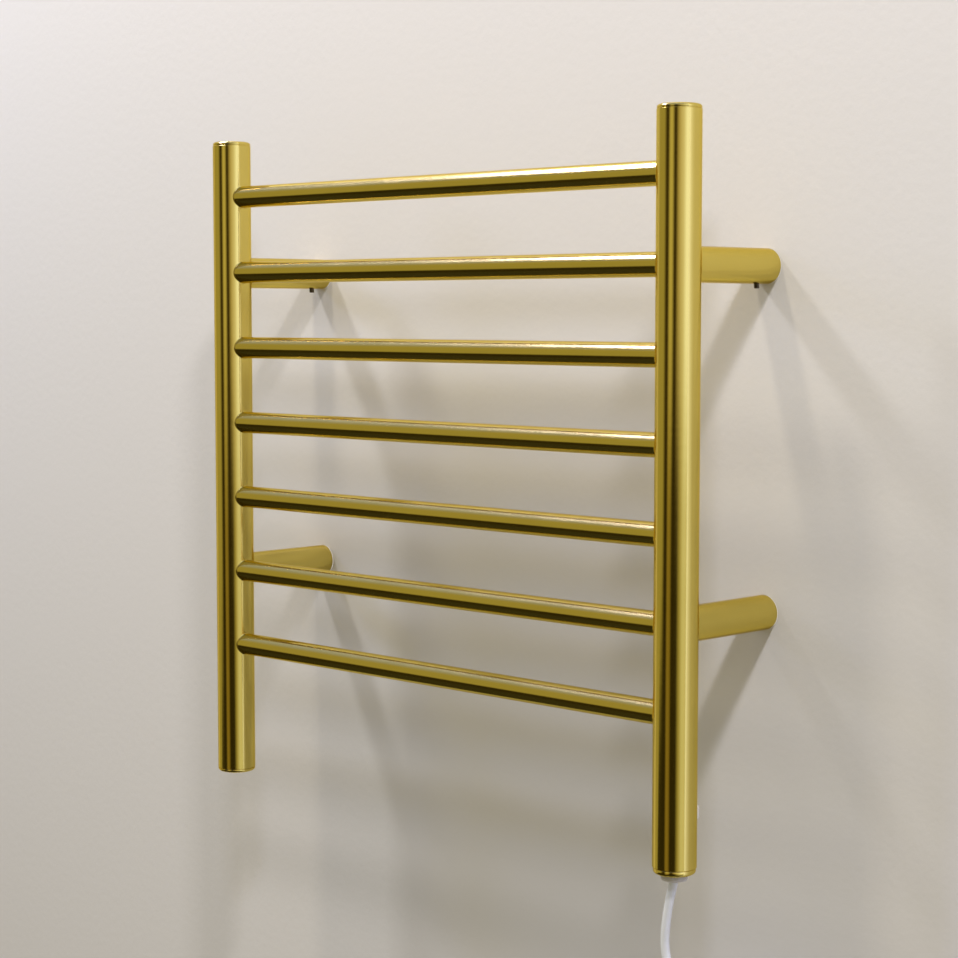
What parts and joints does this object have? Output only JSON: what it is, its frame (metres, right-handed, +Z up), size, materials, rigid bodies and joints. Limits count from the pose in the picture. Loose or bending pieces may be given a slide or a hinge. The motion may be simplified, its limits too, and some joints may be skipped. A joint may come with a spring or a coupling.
{
  "type": "towel warmer rack",
  "caption": "Wall-mounted electric towel warmer: two round posts joined by round bars on four standoffs, with a rocker switch and a plug-in lead.",
  "frame": {"origin": "centre of the four wall-screw holes, on the wall face", "axes": "+X along the bars to the right as seen from the room, +Y into the wall, +Z up"},
  "size_m": [0.551, 0.117, 0.7719],
  "materials": {
    "polished_gold": "mirror-polished light gold",
    "zinc_boss": "turned, satin",
    "screw_steel": "blackened socket screws",
    "gland_nylon": "light grey nylon",
    "cord_white": "smooth white PVC",
    "switch_white": "white moulding",
    "silicone_red": "silicone sleeve",
    "tinned_copper": "tinned",
    "cutout_body": "resin-dipped capsule",
    "lead_blue": "PVC insulation",
    "lead_brown": "PVC insulation",
    "lead_green": "PVC insulation",
    "tie_black": "woven strap",
    "plated_blade": "nickel plate"
  },
  "bodies": {
    "rack": {"left_post": "polished_gold", "right_post": "polished_gold", "bar_1": "polished_gold", "bar_2": "polished_gold", "bar_3": "polished_gold", "bar_4": "polished_gold", "bar_5": "polished_gold", "bar_6": "polished_gold", "bar_7": "polished_gold", "standoff_upper_left": "polished_gold", "standoff_upper_right": "polished_gold", "standoff_lower_left": "polished_gold", "standoff_lower_right": "polished_gold", "wall_boss_upper_left": "zinc_boss", "wall_boss_upper_right": "zinc_boss", "wall_boss_lower_left": "zinc_boss", "wall_boss_lower_right": "zinc_boss", "grub_screws": "screw_steel", "top_cap_left": "polished_gold", "top_cap_right": "polished_gold", "bottom_cap_left": "polished_gold", "bottom_cap_right": "polished_gold", "cable_gland": "gland_nylon", "gland_nut": "gland_nylon", "lead_inner_end": "cord_white", "heating_cable": "silicone_red", "heater_splice": "tinned_copper", "thermal_cutout": "cutout_body", "return_lead": "lead_blue", "return_splice": "tinned_copper", "live_lead": "lead_brown", "switched_lead": "lead_brown", "neutral_lead": "lead_blue", "earth_lead": "lead_green", "earth_lug": "tinned_copper", "earth_screw": "screw_steel", "switch_housing": "switch_white", "switch_terminals": "tinned_copper", "cord_hang": "cord_white", "cord_coil": "cord_white", "cord_tail": "cord_white", "cord_tie": "tie_black", "plug_relief": "cord_white", "plug_body": "cord_white", "plug_blades": "plated_blade", "plug_earth_pin": "plated_blade"},
    "rocker": {"switch_rocker": "switch_white"}
  },
  "joints": [
    {"name": "rocker_tip", "type": "hinge", "parent": "rack", "child": "rocker", "pos_m": [0.245, -0.085, -0.262], "axis": [0, 0, 1], "range_deg": [-18, 0]}
  ]
}
